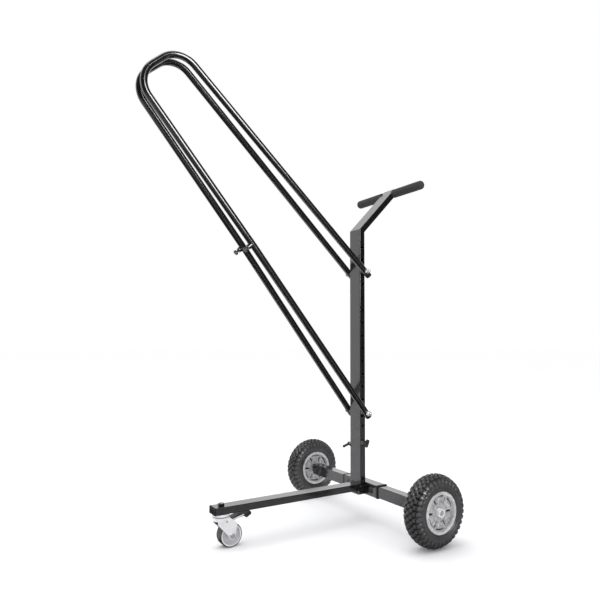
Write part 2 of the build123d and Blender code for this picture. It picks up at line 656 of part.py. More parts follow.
def caster_fork():
    """Pressed fork: a round crown and two cheeks that trail to the wheel's axle."""
    crown = rod(RACE_R, at_caster(CROWN_LOW_Z), at_caster(CROWN_TOP_Z))
    skirt_low = CROWN_LOW_Z - SKIRT_H
    skirt = ring(RACE_R, RACE_R - FORK_T, at_caster(skirt_low), at_caster(CROWN_TOP_Z - WELD_SINK))
    skirt = split(skirt, bisect_by=Plane(origin=at_caster(0), z_dir=(0, 1, 0)), keep=Keep.BOTTOM)
    front = CASTER_Y - CHEEK_FRONT
    back = CASTER_Y + CHEEK_REAR
    top_z = CROWN_TOP_Z - WELD_SINK
    corner_z = CROWN_LOW_Z - CHEEK_DROP
    outline = [(front, top_z), (front, corner_z)]
    outline.append((CASTER_WHEEL_Y - CHEEK_FOOT_R, CASTER_WHEEL_Z))
    outline.append((CASTER_WHEEL_Y + CHEEK_FOOT_R, CASTER_WHEEL_Z))
    outline += [(back + CHEEK_FLARE, corner_z), (back, top_z)]
    side = Plane(origin=(FORK_GAP / 2, 0, 0), x_dir=(0, 1, 0), z_dir=(1, 0, 0))
    foot = Pos(CASTER_WHEEL_Y, CASTER_WHEEL_Z) * Circle(CHEEK_FOOT_R)
    cheek_face = make_face(Polyline(*outline, close=True)) + foot
    cheek = extrude(side * cheek_face, FORK_T)
    body = crown + [skirt] + both_sides(cheek)
    pin_y = CASTER_Y + PEDAL_PIN_Y
    body = body - x_rod(CASTER_AXLE_R, -FORK_X * 2, FORK_X * 2, CASTER_WHEEL_Y, CASTER_WHEEL_Z)
    body = body - x_rod(PEDAL_PIN_R, -FORK_X * 2, FORK_X * 2, pin_y, PEDAL_PIN_Z)
    return body - rod(STEM_R + RUN_FIT, at_caster(0), at_caster(LEG_TOP_Z))


def caster_axle():
    """Axle bolt of the caster wheel with its nut."""
    y = CASTER_WHEEL_Y
    z = CASTER_WHEEL_Z
    bolt = x_rod(CASTER_AXLE_R, -FORK_X - NUT_H - THREAD_END, FORK_X + WELD_SINK, y, z)
    head = hex_rod(HEX, (FORK_X, y, z), (FORK_X + HEAD_H, y, z))
    nut = hex_rod(HEX, (-FORK_X - NUT_H, y, z), (-FORK_X, y, z))
    return bolt + head, nut - x_rod(CASTER_AXLE_R, -FORK_X * 2, FORK_X, y, z)


def caster_ring(half, inner, outer):
    """Ring of the caster wheel, square to its axle."""
    y = CASTER_WHEEL_Y
    z = CASTER_WHEEL_Z
    return ring(outer, inner, (-half, y, z), (half, y, z))


def caster_core():
    """Core of the caster wheel: rim, web and a long hub."""
    rim_part = caster_ring(CASTER_TYRE_W / 2, CASTER_CORE_R - CASTER_RIM_WALL, CASTER_CORE_R)
    web = caster_ring(CASTER_WEB / 2, CASTER_AXLE_R, CASTER_CORE_R - WELD_SINK)
    hub = caster_ring(FORK_GAP / 2 - CLEAR, CASTER_AXLE_R, CASTER_HUB_R)
    bore = x_rod(CASTER_AXLE_R + RUN_FIT, -FORK_X, FORK_X, CASTER_WHEEL_Y, CASTER_WHEEL_Z)
    return rim_part + (web + hub) - bore


def caster_tyre():
    """Tyre of the caster wheel with a rounded tread."""
    body = caster_ring(CASTER_TYRE_W / 2, CASTER_CORE_R, CASTER_D / 2)
    rims = [edge for edge in body.edges().filter_by(GeomType.CIRCLE) if edge.radius > CASTER_CORE_R + CLEAR]
    return fillet(rims, CASTER_TREAD_ROUND)


def brake_pin():
    """Pivot pin of the brake pedal."""
    return x_rod(PEDAL_PIN_R, -FORK_X, FORK_X, CASTER_Y + PEDAL_PIN_Y, PEDAL_PIN_Z)


def brake_pedal():
    """Rocking brake pedal: a toe in front, a foot plate with a drooping lip behind."""
    corners = PEDAL_TOE + PEDAL_SOLE + PEDAL_TREAD + PEDAL_ROOF
    outline = [(CASTER_Y + behind, CROWN_LOW_Z - below) for behind, below in corners]
    start = Plane(origin=(-PEDAL_W / 2, 0, 0), x_dir=(0, 1, 0), z_dir=(1, 0, 0))
    body = extrude(start * make_face(Polyline(*outline, close=True)), PEDAL_W)
    long_edges = body.edges().filter_by(Axis.X).sort_by(Axis.Y)[-4:]
    body = fillet(long_edges, PEDAL_ROUND)
    head_room = rod(PEDAL_HEAD_ROOM_R, at_caster(CROWN_LOW_Z - PEDAL_HEAD_ROOM_H), at_caster(CROWN_LOW_Z))
    pin = x_rod(PEDAL_PIN_R + RUN_FIT, -FORK_X, FORK_X, CASTER_Y + PEDAL_PIN_Y, PEDAL_PIN_Z)
    return body - head_room - pin


def rail_point(forward, z):
    """Point in the right rail's toed-in plane, a distance forward of the mast."""
    cos_toe, sin_toe = turned(TOE_ANGLE)
    return Vector(RAIL_UPPER_X - forward * sin_toe, -forward * cos_toe, z)


def rail_corners():
    """Rear end, the two virtual corners of the outer end, and the splice, on the tube's centre line."""
    cos_up, sin_up = turned(UPPER_ANGLE)
    cos_end, sin_end = turned(END_ANGLE)
    cos_low, sin_low = turned(LOWER_ANGLE)
    tail = (-UPPER_TAIL * cos_up, RAIL_BOLT_UPPER_Z - UPPER_TAIL * sin_up)
    first = (UPPER_RUN * cos_up, RAIL_BOLT_UPPER_Z + UPPER_RUN * sin_up)
    second = (first[0] + END_RUN * cos_end, first[1] - END_RUN * sin_end)
    splice = (second[0] - LOWER_RUN * cos_low, second[1] - LOWER_RUN * sin_low)
    return [rail_point(*corner) for corner in (tail, first, second, splice)]


def splice_directions():
    """Unit vectors at the splice: up along the rail, and square to it towards the floor."""
    corners = rail_corners()
    along = (corners[2] - corners[3]).normalized()
    across = along.cross(Vector(1, 0, 0)).normalized()
    return along, across if across.Z < 0 else across * -1


def boss_axis(distance):
    """Point on the thumb screw's axis, a distance from the rail's centre line."""
    along, across = splice_directions()
    return rail_corners()[3] + along * BOSS_AT + across * distance


def rail():
    """Right rail: upper leg, rounded outer end and the upper half of the lower leg."""
    path = FilletPolyline(*rail_corners(), radius=END_BEND_R)
    start = Plane(origin=path @ 0, z_dir=path % 0)
    tube = sweep(start * (Circle(RAIL_R) - Circle(RAIL_R - RAIL_WALL)), path=path)
    bolt_hole = x_rod(HOLE_R, 0, RAIL_UPPER_X * 2, 0, RAIL_BOLT_UPPER_Z)
    screw_hole = rod(THUMB_R + RUN_FIT, boss_axis(0), boss_axis(RAIL_R * 2))
    return tube - bolt_hole - screw_hole


def strut_ends():
    """Centre-line points of the right strut: the splice, the lower bolt and the cut end."""
    top = rail_corners()[3]
    bolt = Vector(RAIL_LOWER_X, 0, RAIL_BOLT_LOWER_Z)
    along = (bolt - top).normalized()
    return top + along * CLEAR, bolt, bolt + along * STRUT_TAIL


def strut():
    """Right strut: straight tube with a reduced end that slides into the rail."""
    top, bolt, end = strut_ends()
    down = (end - top).normalized()
    up, _ = splice_directions()
    bore_r = RAIL_R - RAIL_WALL
    plug_r = bore_r - SLIDE_FIT
    body = rod(RAIL_R, top, end) - rod(bore_r, top + down * SPLICE_LEN, end)
    body = body + rod(plug_r, top + down * RAIL_R, top + up * SPLICE_LEN)
    body = body - rod(plug_r - SPLICE_WALL, top + down * SPLICE_LEN, top + up * (SPLICE_LEN + OVERCUT))
    return body - x_rod(HOLE_R, 0, RAIL_LOWER_X * 2, 0, RAIL_BOLT_LOWER_Z)


def tube_plug(end, inward):
    """Plastic plug in a rail tube's open end."""
    lip = rod(RAIL_R, end - inward * PLUG_LIP, end)
    insert = rod(RAIL_R - RAIL_WALL - SLIDE_FIT, end, end + inward * RAIL_PLUG_DEPTH)
    rims = lip.edges().filter_by(GeomType.CIRCLE)
    lip = fillet(rims.sort_by_distance(end - inward * RAIL_R)[0], RAIL_PLUG_ROUND)
    return lip + insert


def rail_plugs():
    """End plugs of the right rail and the right strut."""
    corners = rail_corners()
    top, bolt, end = strut_ends()
    upper = tube_plug(corners[0], (corners[1] - corners[0]).normalized())
    return upper, tube_plug(end, (top - end).normalized())


def screw_boss():
    """Welded boss under the right rail that carries the thumb screw."""
    axis = boss_axis(1) - boss_axis(0)
    start = Plane(origin=boss_axis(RAIL_R - BOSS_SINK), z_dir=axis)
    cone = start * Cone(BOSS_FOOT_R, BOSS_R, BOSS_SINK + BOSS_H, align=FROM_BASE)
    along, _ = splice_directions()
    corner = rail_corners()[3]
    seat = rod(RAIL_R, corner - along * RAIL_R, corner + along * RAIL_R * 4)
    return cone - seat - rod(THUMB_R + RUN_FIT, boss_axis(0), boss_axis(RAIL_R * 4))


def thumb_screw():
    """Thumb screw that clamps the right strut's reduced end."""
    tip = RAIL_R - RAIL_WALL + CLEAR
    head = RAIL_R + THUMB_STAND
    shank = rod(THUMB_R, boss_axis(tip), boss_axis(head + WELD_SINK))
    disc = rod(THUMB_HEAD_R, boss_axis(head), boss_axis(head + THUMB_HEAD_H))
    axis = Axis(boss_axis(0), boss_axis(1) - boss_axis(0))
    edge = Vector(THUMB_HEAD_R, 0, 0)
    groove = rod(KNURL_R, boss_axis(head - OVERCUT) + edge, boss_axis(head + THUMB_HEAD_H + OVERCUT) + edge)
    knurls = [groove.rotate(axis, 360 / KNURLS * index) for index in range(KNURLS)]
    return shank + (disc - knurls)


def rail_bolt(x, z):
    """Long bolt through both rails and the mast: bolt, washers, cap nut and spacers."""
    outer = x + RAIL_R + SEAT_GAP
    nut_x = outer + WASHER_H
    bolt = x_rod(BOLT_R, -nut_x - WELD_SINK, nut_x + NUT_H, 0, z)
    bolt = bolt + hex_rod(HEX, (-nut_x - HEAD_H, 0, z), (-nut_x, 0, z))
    nut = hex_rod(HEX, (nut_x, 0, z), (nut_x + NUT_H, 0, z)) + Pos(nut_x + NUT_H, 0, z) * Sphere(CAP_DOME_R)
    nut = nut - x_rod(BOLT_R, nut_x - HEX, nut_x + NUT_H, 0, z)
    nut = nut & box(nut_x, nut_x + NUT_H + HEX, -HEX, HEX, z - HEX, z + HEX)
    washer = ring(WASHER_R, BOLT_R, (outer, 0, z), (nut_x, 0, z))
    spacer = ring(SPACER_R, BOLT_R, (MAST_W / 2, 0, z), (x - RAIL_R - SEAT_GAP, 0, z))
    return bolt, nut, both_sides(washer), both_sides(spacer)


def clamp_boss(z):
    """Turned boss on the mast's right side for a clamp screw at the given height."""
    start = Plane(origin=(MAST_W / 2, 0, z), z_dir=(1, 0, 0))
    cone = start * Cone(CLAMP_BOSS_FOOT_R, CLAMP_BOSS_TIP_R, CLAMP_BOSS_H, align=FROM_BASE)
    return cone - x_rod(BOLT_R + RUN_FIT, 0, MAST_W, 0, z)


def clamp_lever():
    """Clamp screw with a short lever on the left side of the mast; its stud bears on the spigot."""
    hub_x = -MAST_W / 2 - CLAMP_BOSS_H - CLEAR
    stud = x_rod(BOLT_R, hub_x - WELD_SINK, -CLAMP_STUD_X, 0, LEVER_Z)
    hub = x_rod(CLAMP_HUB_R, hub_x - CLAMP_HUB_H, hub_x, 0, LEVER_Z)
    hub = fillet(hub.edges().sort_by(Axis.X)[0], CLAMP_HUB_ROUND)
    cos_t, sin_t = turned(LEVER_ANGLE)
    mid_x = hub_x - CLAMP_HUB_H / 2
    tip = Vector(mid_x, -LEVER_LEN * cos_t, LEVER_Z - LEVER_LEN * sin_t)
    arm = rod(LEVER_R, (mid_x, 0, LEVER_Z), tip) + Pos(tip) * Sphere(LEVER_KNOB_R)
    return stud + hub + arm


def wing_screw():
    """Clamp screw with two wings on the right side of the mast; its stud bears on the spigot."""
    hub_x = MAST_W / 2 + CLAMP_BOSS_H + CLEAR
    stud = x_rod(BOLT_R, CLAMP_STUD_X, hub_x + WELD_SINK, 0, CLAMP_Z)
    hub = x_rod(CLAMP_HUB_R, hub_x, hub_x + CLAMP_HUB_H, 0, CLAMP_Z)
    ear_x = hub_x + CLAMP_HUB_H + WING_PROUD_X
    ear = box(hub_x + WING_ROOT_X, ear_x, -WING_T / 2, WING_T / 2, CLAMP_Z, CLAMP_Z + WING_LEN)
    ear = fillet(ear.edges().filter_by(Axis.Y).sort_by(Axis.Z)[-2:], WING_ROUND)
    axis = Axis((0, 0, CLAMP_Z), (1, 0, 0))
    ears = [ear.rotate(axis, turn - WING_ANGLE) for turn in (0, 180)]
    return stud + hub + ears


def origin_shift():
    """Distance that centres the cart's box between the rails' outer end and the neck's cap."""
    path = FilletPolyline(*rail_corners(), radius=END_BEND_R)
    front = path.bounding_box().min.Y - RAIL_R
    cos_neck, _ = turned(NECK_ANGLE)
    cap_centre = neck_plane(NECK_LEN + NECK_CAP - CAP_ROUND).origin.Y
    cap_corner = cap_centre + (MAST_D / 2 - CAP_ROUND) * cos_neck + CAP_ROUND
    rear = max(AXLE_Y + WHEEL_D / 2, neck_plane(BAR_AT).origin.Y + GRIP_R, cap_corner)
    return -(front + rear) / 2


def single_pieces():
    """Nodes that stand on the cart's middle plane, and fasteners grouped over both sides."""
    bolts, sleeve_nuts = sleeve_bolts()
    cross_bolt, cross_nut = leg_bolt()
    axle_bolt, axle_nut = caster_axle()
    upper = rail_bolt(RAIL_UPPER_X, RAIL_BOLT_UPPER_Z)
    lower = rail_bolt(RAIL_LOWER_X, RAIL_BOLT_LOWER_Z)
    washer, nut = wheel_nut()
    plugs = rail_plugs()
    return {
        "cross_sleeve": cross_sleeve(),
        "sleeve_collars": both_sides(sleeve_collar()),
        "base_post": base_post(),
        "post_spigot": post_spigot(),
        "mast_tube": mast_tube(),
        "handle_neck": handle_neck(),
        "neck_end_cap": neck_end_cap(),
        "handle_bar": handle_bar(),
        "leg_socket": leg_socket(),
        "leg_packer": leg_packer(),
        "front_leg": front_leg(),
        "leg_end_plug": leg_end_plug(),
        "leg_cross_bolt": cross_bolt,
        "leg_cross_nut": cross_nut,
        "sleeve_bolts": bolts,
        "sleeve_nuts": sleeve_nuts,
        "axle_end_plates": both_sides(axle_end_plate()),
        "wheel_spacers": both_sides(wheel_spacer()),
        "wheel_washers": both_sides(washer),
        "wheel_nuts": both_sides(nut),
        "caster_stem": caster_stem(),
        "stem_nut": stem_nut(),
        "caster_race": caster_race(),
        "caster_balls": caster_balls(),
        "caster_fork": caster_fork(),
        "caster_axle_bolt": axle_bolt,
        "caster_axle_nut": axle_nut,
        "caster_core": caster_core(),
        "caster_tyre": caster_tyre(),
        "brake_pin": brake_pin(),
        "brake_pedal": brake_pedal(),
        "rail_bolt_upper": upper[0],
        "rail_bolt_lower": lower[0],
        "rail_cap_nuts": [upper[1], lower[1]],
        "rail_washers": upper[2] + lower[2],
        "rail_spacers": upper[3] + lower[3],
        "rail_plugs": both_sides(plugs[0]) + both_sides(plugs[1]),
        "screw_bosses": both_sides(screw_boss()),
        "clamp_bosses": [clamp_boss(CLAMP_Z), mirror(clamp_boss(LEVER_Z), about=Plane.YZ)],
        "clamp_lever": clamp_lever(),
        "wing_screw": wing_screw(),
    }


def paired_pieces():
    """Right-hand pieces that have a mirrored twin node."""
    return {
        "axle_tube": [axle_tube()],
        "stub_axle": [stub_axle()],
        "tyre": [tyre()],
        "rim": [rim()],
        "wheel_bearings": wheel_bearings(),
        "rail": [rail()],
        "strut": [strut()],
        "thumb_screw": [thumb_screw()],
        "grip": [grip()],
    }


def all_nodes():
    """Every node's name with its solids, laid out from the mast's centre line."""
    nodes = {name: shape if isinstance(shape, list) else [shape] for name, shape in single_pieces().items()}
    for name, solids in paired_pieces().items():
        nodes[name + "_right"] = solids
        nodes[name + "_left"] = [mirror(solid, about=Plane.YZ) for solid in solids]
    return nodes


ORIGIN_Y = origin_shift()
os.makedirs("parts", exist_ok=True)
for node, solids in all_nodes().items():
    placed = [Pos(0, ORIGIN_Y, 0) * solid for solid in solids]
    export_step(placed[0] if len(placed) == 1 else Compound(children=placed), f"parts/{node}.step")
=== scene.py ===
import bpy
import math
import numpy as np
from mathutils import Matrix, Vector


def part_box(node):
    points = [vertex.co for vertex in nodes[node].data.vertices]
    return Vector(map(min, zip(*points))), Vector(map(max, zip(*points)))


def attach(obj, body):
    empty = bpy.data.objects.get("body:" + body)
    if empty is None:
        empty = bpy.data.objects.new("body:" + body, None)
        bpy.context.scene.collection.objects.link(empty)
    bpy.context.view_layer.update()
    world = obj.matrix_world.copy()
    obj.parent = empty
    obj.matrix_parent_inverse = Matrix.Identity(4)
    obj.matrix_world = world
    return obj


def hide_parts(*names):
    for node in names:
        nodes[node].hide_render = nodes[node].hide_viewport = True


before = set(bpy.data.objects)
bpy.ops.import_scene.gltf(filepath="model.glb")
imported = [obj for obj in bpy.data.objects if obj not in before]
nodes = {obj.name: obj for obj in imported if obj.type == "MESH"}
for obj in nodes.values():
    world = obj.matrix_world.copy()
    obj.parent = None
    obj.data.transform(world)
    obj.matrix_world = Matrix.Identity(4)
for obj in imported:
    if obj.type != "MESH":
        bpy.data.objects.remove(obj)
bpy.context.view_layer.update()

# Base: a square cross sleeve with the two axle tubes bolted into it, the leg socket and the flat front leg.
# All are steel under a gloss black powder coat, which has a fine orange peel, an uneven gloss and a little
# dust on its level faces; the two sleeve bolts are blackened steel.


def own_place(tree):
    """The piece's own coordinates in metres."""
    return tree.nodes.new("ShaderNodeTexCoord").outputs["Object"]


def noise_pair_group():
    """Shared effect: a fine and a slow noise in the piece's own coordinates.

    Inputs: the scale per metre and the detail of each noise. Outputs: both noises, from 0 to 1.
    """
    group = bpy.data.node_groups.new("noise pair", "ShaderNodeTree")
    for label in ("Fine", "Slow"):
        for setting in ("Scale", "Detail"):
            group.interface.new_socket(f"{label} {setting}", in_out="INPUT", socket_type="NodeSocketFloat")
        group.interface.new_socket(label, in_out="OUTPUT", socket_type="NodeSocketFloat")
    start = group.nodes.new("NodeGroupInput")
    end = group.nodes.new("NodeGroupOutput")
    for label in ("Fine", "Slow"):
        noise = group.nodes.new("ShaderNodeTexNoise")
        group.links.new(own_place(group), noise.inputs["Vector"])
        for setting in ("Scale", "Detail"):
            group.links.new(start.outputs[f"{label} {setting}"], noise.inputs[setting])
        group.links.new(noise.outputs["Fac"], end.inputs[label])
    return group


noise_pair = noise_pair_group()


def two_noises(material, fine, slow):
    """Places the noise pair in a material and returns both outputs; fine and slow are (scale, detail)."""
    node = material.node_tree.nodes.new("ShaderNodeGroup")
    node.node_tree = noise_pair
    for label, (scale, detail) in (("Fine", fine), ("Slow", slow)):
        node.inputs[f"{label} Scale"].default_value = scale
        node.inputs[f"{label} Detail"].default_value = detail
    return node.outputs["Fine"], node.outputs["Slow"]


def one_noise(tree, scale, detail):
    """Adds a single noise in the piece's own coordinates and returns its 0 to 1 output."""
    node = tree.nodes.new("ShaderNodeTexNoise")
    node.inputs["Scale"].default_value = scale
    node.inputs["Detail"].default_value = detail
    tree.links.new(own_place(tree), node.inputs["Vector"])
    return node.outputs["Fac"]


def value_map(tree, source, span, result):
    """Adds a clamped map of a value from one (low, high) range to another."""
    node = tree.nodes.new("ShaderNodeMapRange")
    for label, value in zip(("From Min", "From Max", "To Min", "To Max"), (*span, *result)):
        node.inputs[label].default_value = value
    tree.links.new(source, node.inputs["Value"])
    return node.outputs["Result"]


def combine(tree, operation, first, second):
    """Joins two values with a Math node and returns the result."""
    node = tree.nodes.new("ShaderNodeMath")
    node.operation = operation
    tree.links.new(first, node.inputs[0])
    tree.links.new(second, node.inputs[1])
    return node.outputs["Value"]


def split_axes(tree, vector):
    """X, Y and Z of a vector."""
    node = tree.nodes.new("ShaderNodeSeparateXYZ")
    tree.links.new(vector, node.inputs["Vector"])
    return node.outputs


def surface(material):
    """Inputs of a material's Principled shader."""
    return material.node_tree.nodes["Principled BSDF"].inputs


def new_material(name, constants):
    """Material with a Principled shader, whose constant inputs are set by name."""
    material = bpy.data.materials.new(name)
    material.use_nodes = True
    for label, value in constants.items():
        surface(material)[label].default_value = value
    return material


def set_grey(material, mask, low, high):
    """Links the base colour to a mask, from one faintly blue grey to another."""
    blue = 1.02
    tree = material.node_tree
    ramp = tree.nodes.new("ShaderNodeValToRGB")
    for element, grey in zip(ramp.color_ramp.elements, (low, high)):
        element.color = (grey, grey, grey * blue, 1.0)
    tree.links.new(mask, ramp.inputs["Fac"])
    tree.links.new(ramp.outputs["Color"], surface(material)["Base Color"])


def set_rough(material, noise, low, high):
    """Links the roughness to a noise, over the range in which most of its values lie."""
    usual = (0.3, 0.7)
    tree = material.node_tree
    tree.links.new(value_map(tree, noise, usual, (low, high)), surface(material)["Roughness"])


def set_bump(material, height, strength, distance):
    """Links the normal to a bump; the distance is in metres."""
    tree = material.node_tree
    bump = tree.nodes.new("ShaderNodeBump")
    bump.inputs["Strength"].default_value = strength
    bump.inputs["Distance"].default_value = distance
    tree.links.new(height, bump.inputs["Height"])
    tree.links.new(bump.outputs["Normal"], surface(material)["Normal"])


def dress(material, slot, *names):
    """Gives CAD nodes one material. The slot is not used."""
    for name in names:
        nodes[name].data.materials.clear()
        nodes[name].data.materials.append(material)


black_coat = new_material("black powder coat", {"Coat Weight": 0.9, "Coat Roughness": 0.1})
coat_tree = black_coat.node_tree
coat_peel, coat_drift = two_noises(black_coat, fine=(700.0, 1.0), slow=(14.0, 4.0))
coat_normal = coat_tree.nodes.new("ShaderNodeNewGeometry").outputs["Normal"]
coat_up = split_axes(coat_tree, coat_normal)["Z"]
coat_dust = one_noise(coat_tree, scale=320.0, detail=3.0)
level_faces = value_map(coat_tree, coat_up, span=(0.5, 1.0), result=(0.0, 1.0))
dust_specks = value_map(coat_tree, coat_dust, span=(0.5, 0.8), result=(0.0, 1.0))
set_grey(black_coat, combine(coat_tree, "MULTIPLY", level_faces, dust_specks), low=0.008, high=0.05)
set_rough(black_coat, coat_drift, low=0.18, high=0.27)
set_bump(black_coat, coat_peel, strength=0.006, distance=0.0002)
dress(black_coat, "black_coat", "cross_sleeve", "axle_tube_left", "axle_tube_right", "axle_end_plates",
      "leg_socket", "front_leg", "leg_cross_bolt", "leg_cross_nut", "sleeve_nuts", "stem_nut")


def plated(name, metallic, greys, roughs):
    """Metal whose grey and roughness drift; a dull passivated skin lowers its metallic share."""
    material = new_material(name, {"Metallic": metallic})
    spangle, drift = two_noises(material, fine=(420.0, 4.0), slow=(45.0, 3.0))
    set_grey(material, drift, *greys)
    set_rough(material, spangle, *roughs)
    set_bump(material, spangle, strength=0.08, distance=0.0001)
    return material


dark_steel = plated("blackened steel", metallic=0.6, greys=(0.03, 0.09), roughs=(0.26, 0.4))
dress(dark_steel, "black_coat", "sleeve_bolts")

# Plugs, collars and packer are moulded black plastic with a spark-eroded grain, duller than the coat.
# They are pushed into or over the tubes and stay by their fit; the plug in the leg's end is the dullest.
plastic_grain = (2400.0, 2.0)
plastic_drift = (60.0, 3.0)


def moulded_plastic(name, constants, greys, roughs):
    """Black plastic whose grey and gloss drift slowly over a fine grain."""
    material = new_material(name, constants)
    grain, drift = two_noises(material, plastic_grain, plastic_drift)
    set_grey(material, drift, *greys)
    set_rough(material, drift, *roughs)
    set_bump(material, grain, strength=0.25, distance=0.00015)
    return material


black_plastic = moulded_plastic("moulded black plastic", {}, greys=(0.008, 0.018), roughs=(0.36, 0.5))
dress(black_plastic, "black_plastic", "sleeve_collars", "leg_packer")
dull_plastic = moulded_plastic("dull black plastic", {"Specular IOR Level": 0.2}, greys=(0.003, 0.008),
                               roughs=(0.6, 0.75))
dress(dull_plastic, "black_plastic", "leg_end_plug")

# Mast: a flat tube with a row of side holes on a short post, and the neck welded on at a mitre.
# It has the base's black coat; a steel spigot joins it to the post and a plastic cap closes the neck.
dress(black_coat, "black_coat", "base_post", "mast_tube", "handle_neck", "handle_bar")
steel = plated("plain steel", metallic=0.6, greys=(0.42, 0.58), roughs=(0.25, 0.42))
dress(steel, "plain_steel", "post_spigot")
dress(black_plastic, "black_plastic", "neck_end_cap")

# Grips: closed-cell foam sleeves pushed over the bar's ends, soft black-grey and quite matt.
# The foam's cells show as a fine pitted skin.
foam = new_material("grip foam", {})
foam_cells, foam_drift = two_noises(foam, fine=(1500.0, 3.0), slow=(90.0, 2.0))
set_grey(foam, foam_drift, low=0.022, high=0.042)
set_rough(foam, foam_cells, low=0.72, high=0.92)
set_bump(foam, foam_cells, strength=0.5, distance=0.0004)
dress(foam, "grip_foam", "grip_left", "grip_right")

# Rails: round tubes bent into hairpins and straight struts that plug into them, in the same black coat.
# Thumb screws clamp the splices; long bolts with bright washers and cap nuts hold the rails on the mast.
dress(black_coat, "black_coat", "rail_left", "rail_right", "strut_left", "strut_right", "screw_bosses",
      "rail_spacers")
dress(black_plastic, "black_plastic", "rail_plugs")
nut_zinc = plated("nut zinc", metallic=0.8, greys=(0.68, 0.9), roughs=(0.16, 0.3))
dress(nut_zinc, "zinc", "rail_bolt_upper", "rail_bolt_lower", "rail_cap_nuts", "rail_washers")
dress(dark_steel, "zinc", "thumb_screw_left", "thumb_screw_right")

# Clamp at the mast's foot: a screw with a moulded lever on one side and one with moulded wings on the other.
# Each runs in a short turned boss under the black coat and bears on the spigot inside.
dress(black_coat, "black_coat", "clamp_bosses")
dress(black_plastic, "black_plastic", "clamp_lever", "wing_screw")

# Rear tyres: solid foam tyres with a knobbly tread that wraps over the shoulders, pressed over the rims.
# The blocks stand in a middle row and three rows on each side; two fine rings run round each side wall.
# The rubber has a slight gloss and is a little dusty on the blocks; painted shade darkens the grooves, less
# on the shoulders.
mm = 0.001
sides = ((1, "right"), (-1, "left"))

# Tyre sizes in millimetres: r is from the axle, x from the wheel's middle and the rows from the crown.
# A block takes up block_share of its pitch and leans by block_lean radians per millimetre.
wide_r = 77.0
bead_x = 26.1
bead_r = 50.3
flange_r = 57.6
skin_x = 0.1
skin_r = 0.4
tread_points = 47
tread_power = 2.0 / 1.95
tread_crowding = 1.15
side_points = 28
side_power = 0.8
tread_depth = 5.0
blocks_around = 36
points_per_block = 18
block_share = 0.6
block_lean = 0.0012
block_edge = 0.9
tread_rows = ((-4.2, 4.2, 0.0), (6.0, 13.0, 0.5), (15.0, 23.0, 0.0), (25.5, 43.0, 0.0))
tread_fade = (41.0, 45.0)
shoulder = (22.0, 34.0)
shoulder_loss = 0.5
wall_from = 43.0
wall_shade = 0.75
side_rings = (62.5, 68.5)
ring_height = 0.7
ring_width = 0.9


def closed_surface(name, points, outward, **values):
    """Mesh from a grid of points [around, across, xyz] closed both ways, with a float attribute per value."""
    around, across = points.shape[:2]
    index = np.arange(around * across).reshape(around, across)
    ahead = np.roll(index, -1, axis=0)
    corners = np.stack([index, ahead, np.roll(ahead, -1, axis=1), np.roll(index, -1, axis=1)], axis=-1)
    corners = corners.reshape(-1, 4)[:, ::outward].astype(np.int32)
    mesh = bpy.data.meshes.new(name)
    mesh.vertices.add(around * across)
    mesh.vertices.foreach_set("co", points.astype(np.float32).ravel())
    mesh.loops.add(corners.size)
    mesh.loops.foreach_set("vertex_index", corners.ravel())
    mesh.polygons.add(len(corners))
    mesh.polygons.foreach_set("loop_start", np.arange(0, corners.size, 4, dtype=np.int32))
    mesh.polygons.foreach_set("use_smooth", np.ones(len(corners), dtype=bool))
    for label, value in values.items():
        attribute = mesh.attributes.new(label, "FLOAT", "POINT")
        attribute.data.foreach_set("value", value.astype(np.float32).ravel())
    mesh.update(calc_edges=True)
    piece = bpy.data.objects.new(name, mesh)
    bpy.context.scene.collection.objects.link(piece)
    return piece


def wheel_points(centre, side, x, y, z):
    """Points in metres from millimetres off a wheel's centre; the left wheel mirrors the right one."""
    return np.stack([centre.x + side * x * mm, centre.y + y * mm, centre.z + z * mm], axis=-1)


def soft_step(value, low, high):
    """Smooth rise from 0 to 1 between two values: 3t^2 - 2t^3."""
    t = np.clip((value - low) / (high - low), 0.0, 1.0)
    return t * t * (3.0 - 2.0 * t)


def depth_inside(value, low, high):
    """How far a value lies inside a band, negative outside it."""
    return np.minimum(value - low, high - value)


def tyre_section(half_width, outer_r):
    """Closed section (x, r) of the tyre and the distance from the crown along it, in millimetres.

    Tread: a superellipse, x = half_width cos(p)^n, r = wide_r + (outer_r - wide_r) sin(p)^n, n = tread_power,
    whose points crowd a little towards the side. Side: x = bead_x + (half_width - bead_x) sin(q)^side_power
    from the flange up to the widest point.
    """
    p = np.linspace(0.0, 1.0, tread_points) ** tread_crowding * math.pi / 2
    tread_x = half_width * np.cos(p) ** tread_power
    tread_r = wide_r + (outer_r - wide_r) * np.sin(p) ** tread_power
    q = np.linspace(0.0, 1.0, side_points, endpoint=False)
    side_x = bead_x + (half_width - bead_x) * np.sin(q * math.pi / 2) ** side_power
    side_r = flange_r + (wide_r - flange_r) * q
    right_x = np.concatenate([[0.5 * bead_x, bead_x], side_x, tread_x])
    right_r = np.concatenate([[bead_r, bead_r], side_r, tread_r])
    right_x[-1] = 0.0
    x = np.concatenate([right_x, -right_x[-2::-1]])
    r = np.concatenate([right_r, right_r[-2::-1]])
    steps = np.hypot(np.diff(x), np.diff(r))
    along = np.concatenate([[0.0], np.cumsum(steps)])
    return x, r, along - along[len(right_x) - 1]


def tread_relief(angle, away, outer_r):
    """Height mask of the tread at an angle and a distance from the crown, 1 on a block and 0 in a groove.

    A row is (nearest, farthest, shift): its band in millimetres from the crown and its shift in pitches.
    """
    pitch = 2 * math.pi / blocks_around
    mask = np.zeros(np.broadcast(angle, away).shape)
    for low, high, shift in tread_rows:
        lean = block_lean * (away - low)
        place = np.mod(angle / pitch + shift + lean / pitch, 1.0) - 0.5
        reach = (block_share / 2 - np.abs(place)) * pitch * outer_r
        ends = soft_step(depth_inside(away, low, high), -block_edge, block_edge)
        mask = np.maximum(mask, soft_step(reach, -block_edge, block_edge) * ends)
    return mask


